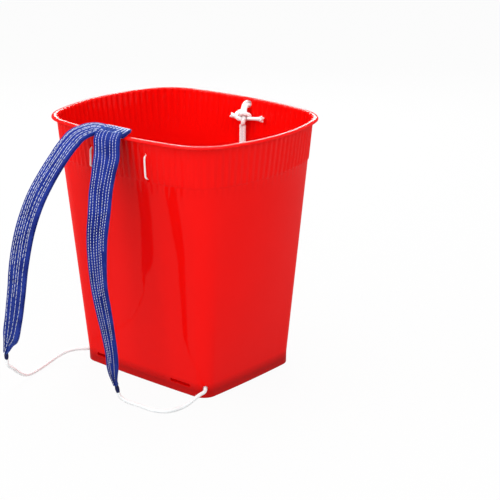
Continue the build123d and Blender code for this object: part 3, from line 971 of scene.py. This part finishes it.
# A zigzag and three plain seams along the fold, and a bar where the right strap starts
yoke_zigzag = [(0.0805 + 0.0055 * (n % 2), 0.06 + 0.88 * n / 22) for n in range(23)]
yoke_seams = [yoke_zigzag, ((0.103, 0.1), (0.104, 0.4))]
yoke_seams += [((along, 0.06), (along, 0.95)) for along in (0.079, 0.0885, 0.0925)]
yoke_ends = (0.8, 0.8, 0.8, 0.8, 1.0, 1.0, 1.0)
yoke_stitch = (0.0056, 0.0055, 0.00055)
yoke, lines = sewn_band(
    "yoke_cloth", yoke_stations, yoke_rows, yoke_ends, 11, strap_cloth, seams=yoke_seams, square=False
)
yoke_stitches = sew("yoke_stitches", lines, yoke_stitch, 11, stitch_white)
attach(yoke, "basket")
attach(yoke_stitches, "basket")
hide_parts("strap_yoke")

# Bindings: dark waxed thread, wound tightly where each strap's gathered end and its rope meet. One helix of
# thread lies on a plain core.
binding_length = 0.0115
binding_radius = 0.0027
binding_thread = 0.0006
binding_turns = 9.0
binding_swell = 0.0006


def wound_thread():
    """Dark navy waxed thread with fine fibres."""
    looks = {"Roughness": 0.55, "Specular IOR Level": 0.15}
    material, tree, shader, place = start_material("binding_thread", looks)
    fibre = noise(tree, place, 1800.0, 2.0)
    colour = ramp(tree, fibre, (0.3, (0.004, 0.006, 0.04)), (0.7, (0.012, 0.018, 0.10)))
    tree.links.new(colour, shader.inputs["Base Color"])
    roughen(tree, shader, fibre, 0.3, 0.0002)
    return material


binding_finish = wound_thread()
for hand, tip, direction in (("left", left_tip, left_end), ("right", right_tip, right_end)):
    direction = np.array(direction)
    side = unit(np.cross(direction, (0.0, 1.0, 0.0)))
    over = np.cross(direction, side)
    share = np.linspace(0.0, 1.0, 220)
    turn = 2 * pi * binding_turns * share
    reach = binding_radius - binding_thread + binding_swell * np.sin(pi * share)
    height = binding_thread + (binding_length - 2 * binding_thread) * share
    wound = np.array(tip) + np.outer(height, direction)
    wound = wound + (reach * np.cos(turn))[:, None] * side + (reach * np.sin(turn))[:, None] * over
    points = []
    faces = []
    tube(points, faces, wound, np.full(len(wound), binding_thread))
    core = np.array(tip) + np.outer(np.linspace(0.0, binding_length, 6), direction)
    tube(points, faces, core, np.full(6, binding_radius - binding_thread), 14)
    binding = finish_rope(f"binding_{hand}", points, faces, binding_finish)
    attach(binding, f"{hand}_strap")
    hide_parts(f"strap_binding_{hand}")

# Lashing: one thin white cord tied over the flap inside, out through four holes of the strap wall and up
# the outside, so that it holds the yoke to the rim.
cord_diameter = 0.0028
cord_lay = 0.010
tie_place = (-0.013, -0.12586, 0.370)
tie_halves = (0.0045, 0.0032, 0.0026)
lashing_route = [
    (-0.0070, -0.12586, 0.370),
    (0.0060, -0.12586, 0.370),
    (0.0180, -0.12866, 0.370),
    (0.0480, -0.1345, 0.370),
    (0.0560, -0.1385, 0.3688),
    (0.0573, -0.1454, 0.3675),
    (0.0571, -0.1455, 0.364),
    (0.0562, -0.1442, 0.352),
    (0.0556, -0.1431, 0.341),
    (0.0558, -0.1424, 0.3352),
    (0.0566, -0.1340, 0.3328),
    (0.0480, -0.1305, 0.332),
    (0.0180, -0.1298, 0.332),
    (-0.0500, -0.1294, 0.332),
    (-0.0540, -0.1300, 0.332),
    (-0.0568, -0.1335, 0.3320),
    (-0.0558, -0.1423, 0.3340),
    (-0.0545, -0.1431, 0.340),
    (-0.0527, -0.1443, 0.350),
    (-0.0518, -0.1452, 0.357),
    (-0.0514, -0.1452, 0.3610),
    (-0.0521, -0.1385, 0.3632),
    (-0.0500, -0.12866, 0.370),
    (-0.0310, -0.12586, 0.370),
    (-0.0190, -0.12586, 0.370),
]
lashing_finish = rope_fibre("lashing_cord", (0.95, 0.945, 0.93))
lashing = braided("lashing", rope_line(lashing_route), cord_diameter, cord_lay, lashing_finish)
tie_line = knot_path(tie_place, (1, 0, 0), (0, 0, 1), *tie_halves)
lashing_tie = braided("lashing_tie", tie_line, cord_diameter, cord_lay, lashing_finish)
for piece, node in ((lashing, "lashing_cord"), (lashing_tie, "lashing_knot")):
    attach(piece, "basket")
    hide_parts(node)

# Sling: a doubled white rope on the far wall. It leaves the tub low down, runs up outside, comes in again
# under the lip and is tied into one knot inside, with two short frayed ends.
sling_y = 0.13307
sling_half_gap = 0.00305
sling_knot_place = (0.0006, sling_y, 0.3655)
sling_knot_halves = (0.0116, 0.0108, 0.0052)
sling_knot_diameter = 1.2 * rope_diameter
tail_fray = 7.0
for hand, side in (("left", -1), ("right", 1)):
    x = side * sling_half_gap
    strand_route = [
        (x, sling_y, 0.3525),
        (x, sling_y, 0.3315),
        (x, sling_y - 0.001, 0.311),
        (x, 0.1310, 0.3005),
        (x, 0.1395, 0.2985),
        (x, 0.1432, 0.308),
        (x, 0.1500, 0.345),
        (x, 0.1550, 0.378),
        (0.6 * x, 0.1530, 0.3850 - 0.0022 * side),
        (0.6 * x - 0.001, 0.1445, 0.3848 - 0.0022 * side),
        (0.7 * x, 0.1390, 0.3835 - 0.0010 * side),
        (x + 0.001, 0.1350, 0.3780),
        (x + 0.001, sling_y, 0.370),
    ]
    strand = braided(f"sling_{hand}", rope_line(strand_route), rope_diameter, rope_lay, white_rope)
    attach(strand, "basket")
    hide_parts(f"sling_strand_{hand}")
sling_line = knot_path(sling_knot_place, (1, 0, 0), (0, 0, 1), *sling_knot_halves)
sling_tie = braided("sling_tie", sling_line, sling_knot_diameter, rope_lay, white_rope)
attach(sling_tie, "basket")
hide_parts("sling_knot")
for hand, tail_route in (
    ("left", [(-0.0105, sling_y, 0.364), (-0.016, sling_y - 0.001, 0.3645), (-0.022, sling_y, 0.365)]),
    ("right", [(0.0105, sling_y, 0.3645), (0.024, sling_y - 0.001, 0.3662), (0.040, sling_y, 0.368)]),
):
    tail_line = rope_line(tail_route)
    tail = braided(f"sling_end_{hand}", tail_line, rope_diameter, rope_lay, white_rope, tail_fray)
    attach(tail, "basket")
    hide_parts(f"sling_tail_{hand}")

# Studio: a pale floor, soft boxes at the left, overhead, in front, at the right and low behind, and the
# photograph's camera.
floor_half = 6.0
floor_level = -0.0004
floor_glow = 0.95
floor_corners = [(floor_half * x, floor_half * y, 0) for x, y in ((-1, -1), (1, -1), (1, 1), (-1, 1))]
floor = new_piece("floor", floor_corners, [(0, 1, 2, 3)])
floor.location.z = floor_level


def seen_ray(tree):
    """One where a ray comes from the camera, a gloss or a see-through surface, and nought for other light."""
    ray = add(tree, "ShaderNodeLightPath").outputs
    seen = reckon(tree, "MAXIMUM", ray["Is Camera Ray"], ray["Is Glossy Ray"])
    return reckon(tree, "MAXIMUM", seen, ray["Is Transmission Ray"])


def floor_paper():
    """White paper sweep that shows the basket's soft shadow faintly."""
    looks = {"Roughness": 0.9, "Base Color": (0.55, 0.55, 0.55, 1.0)}
    material, tree, shader = start_material("floor_paper", looks)[:3]
    glow = add(tree, "ShaderNodeEmission", {"Color": (1.0, 1.0, 1.0, 1.0), "Strength": 1.0})
    share = reckon(tree, "MULTIPLY", seen_ray(tree), floor_glow)
    layers = {"Fac": share, 1: shader.outputs["BSDF"], 2: glow.outputs["Emission"]}
    mix = add(tree, "ShaderNodeMixShader", layers)
    tree.links.new(mix.outputs["Shader"], tree.nodes["Material Output"].inputs["Surface"])
    return material


floor.data.materials.append(floor_paper())

world = bpy.data.worlds.new("studio")
world.use_nodes = True
room_light = 0.56
sky = world.node_tree
backdrop = sky.nodes["Background"]
backdrop.inputs["Color"].default_value = (1.0, 1.0, 1.0, 1.0)
strength = add(sky, "ShaderNodeMapRange", {"Value": seen_ray(sky), "To Min": room_light, "To Max": 1.0})
sky.links.new(strength.outputs["Result"], backdrop.inputs["Strength"])
scene.world = world


def soft_box(name, place, target, size, power):
    """A rectangular studio light that faces a point."""
    light = bpy.data.lights.new(name, "AREA")
    light.shape = "RECTANGLE"
    light.size, light.size_y = size
    light.energy = power
    lamp = bpy.data.objects.new(name, light)
    lamp.location = place
    lamp.rotation_euler = (Vector(target) - Vector(place)).to_track_quat("-Z", "Y").to_euler()
    lamp.visible_camera = False
    scene.collection.objects.link(lamp)


soft_box("left_box", (-1.7, -2.1, 2.3), (0, 0, 0.2), (2.2, 2.2), 33.0)
soft_box("top_box", (-0.5, 0.1, 2.3), (0, 0, 0.2), (1.4, 1.4), 29.0)
soft_box("front_box", (0.3, -2.6, 1.8), (0, 0, 0.3), (1.6, 1.6), 30.0)
soft_box("right_box", (1.8, -0.5, 1.5), (0, 0, 0.25), (1.2, 1.2), 15.0)
soft_box("rim_box", (-1.25, 1.55, 0.95), (0, 0, 0.35), (1.2, 0.25), 20.0)

# The camera's place, the point that it faces and its focal length in picture widths
camera_place = Vector((1.5174, -1.6379, 0.9219))
camera_target = Vector((0.10305, 0.02937, 0.19551))
sensor = 36.0
focal_share = 1534.0 / 500.0
view_camera = bpy.data.cameras.new("photo_view")
view_camera.sensor_width = sensor
view_camera.lens = sensor * focal_share
camera = bpy.data.objects.new("photo_view", view_camera)
camera.location = camera_place
camera.rotation_euler = (camera_target - camera_place).to_track_quat("-Z", "Y").to_euler()
scene.collection.objects.link(camera)
scene.camera = camera
scene.view_settings.view_transform = "Standard"
